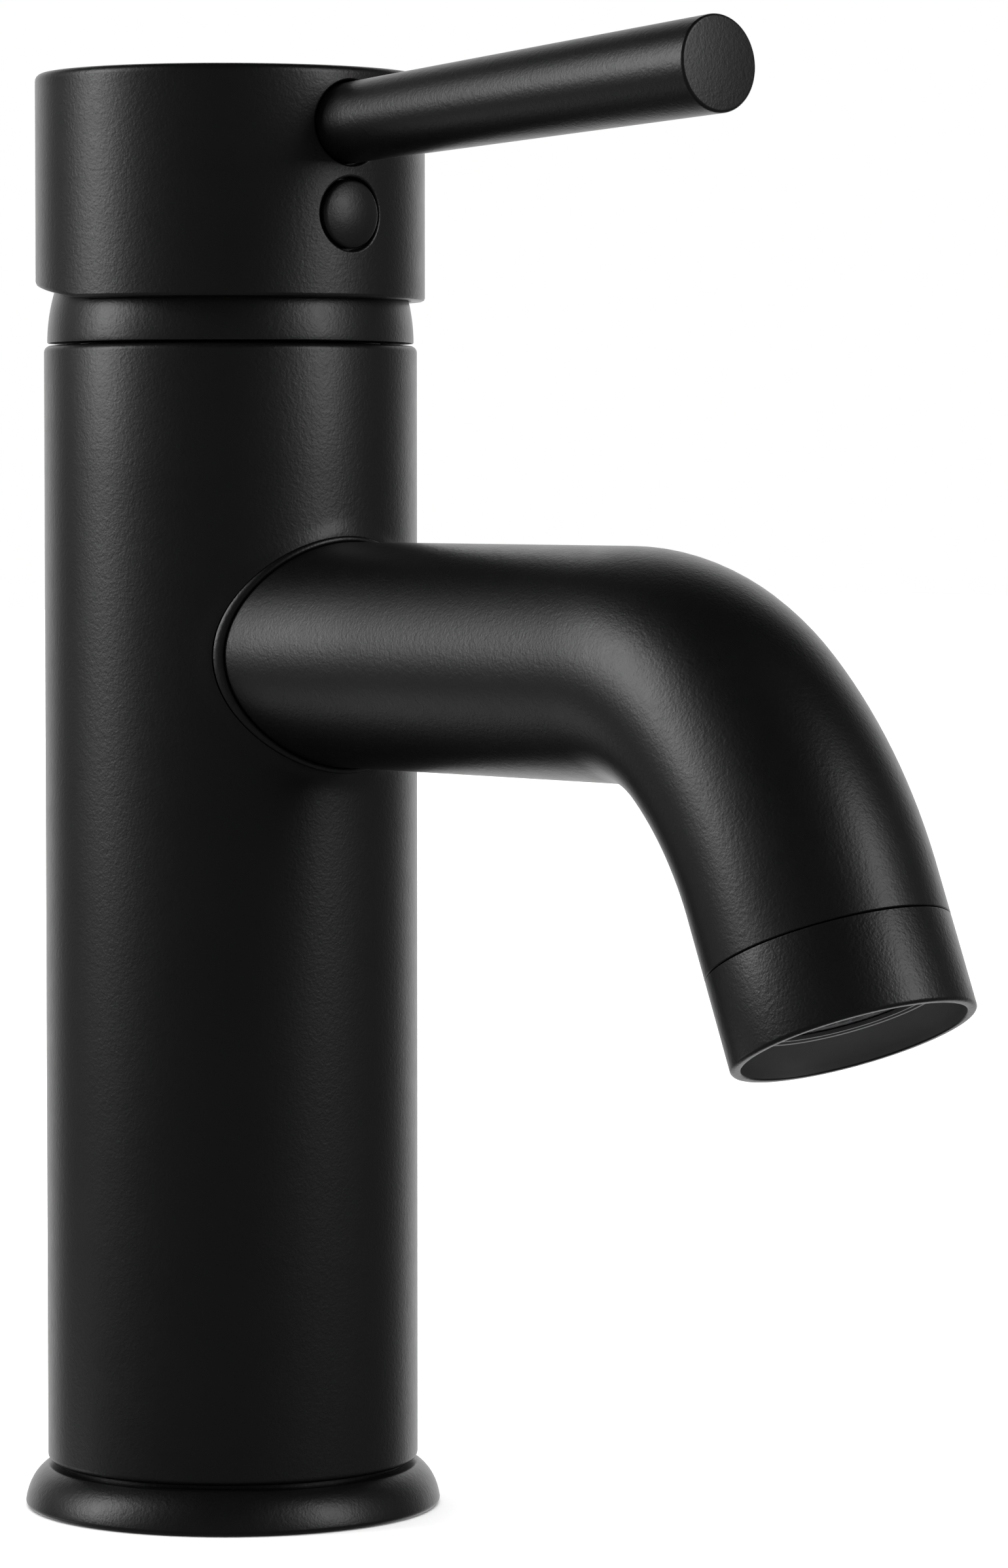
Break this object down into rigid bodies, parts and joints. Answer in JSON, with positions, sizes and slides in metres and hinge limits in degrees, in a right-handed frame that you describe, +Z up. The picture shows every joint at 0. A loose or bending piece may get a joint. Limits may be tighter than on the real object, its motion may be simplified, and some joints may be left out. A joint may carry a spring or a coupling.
{
  "type": "bathroom mixer faucet",
  "caption": "Single-lever basin mixer in matte black: round column on a flared foot, curved spout with an aerator, and a lifting and turning cap handle with a rod lever.",
  "frame": {"origin": "centre of the foot's underside, on the axis of the hole in the deck", "axes": "+Z up, +X along the spout and the lever, +Y to the left of someone looking along the spout"},
  "size_m": [0.1507, 0.0516, 0.1796],
  "materials": {
    "black_metal": "satin",
    "black_plastic": "satin",
    "rubber": "matte",
    "brass": "satin",
    "grey_plastic": "satin",
    "white_plastic": "satin",
    "red_plastic": "satin",
    "ceramic": "polished",
    "steel": "satin"
  },
  "bodies": {
    "faucet": {"base_flange": "black_metal", "base_seal": "rubber", "flange_o_ring": "rubber", "body": "black_metal", "inlet_block": "brass", "block_o_ring": "rubber", "supply_tubes": "brass", "cartridge_seat": "brass", "spout": "black_metal", "aerator_collar": "black_metal", "aerator_sleeve": "grey_plastic", "aerator_honeycomb": "grey_plastic", "aerator_diffuser": "grey_plastic", "aerator_screen": "steel", "aerator_washer": "rubber", "cartridge_housing": "white_plastic", "cartridge_base": "white_plastic", "port_seals": "rubber", "disc_seals": "rubber", "fixed_disc": "ceramic", "retaining_nut": "brass", "nut_o_ring": "rubber", "dome_ring": "black_metal"},
    "rotor": {"rotor": "white_plastic", "stem_pin": "steel", "limit_ring": "red_plastic"},
    "handle": {"stem": "brass", "handle_cap": "black_metal", "lever_rod": "black_metal", "set_screw": "steel", "index_button": "black_plastic"},
    "disc_carrier": {"moving_disc": "ceramic", "disc_driver": "white_plastic"}
  },
  "joints": [
    {"name": "temperature_turn", "type": "hinge", "parent": "faucet", "child": "rotor", "pos_m": [0, 0, 0.1441], "axis": [0, 0, 1], "range_deg": [-50, 50]},
    {"name": "lever_lift", "type": "hinge", "parent": "rotor", "child": "handle", "pos_m": [0, 0, 0.1441], "axis": [0, -1, 0], "range_deg": [0, 25]},
    {"name": "disc_slide", "type": "slide", "parent": "rotor", "child": "disc_carrier", "axis": [1, 0, 0], "range_m": [0, 0.00263]}
  ],
  "couplings": [
    {"joint": "disc_slide", "follows": "lever_lift", "m_per_rad": 0.006}
  ]
}
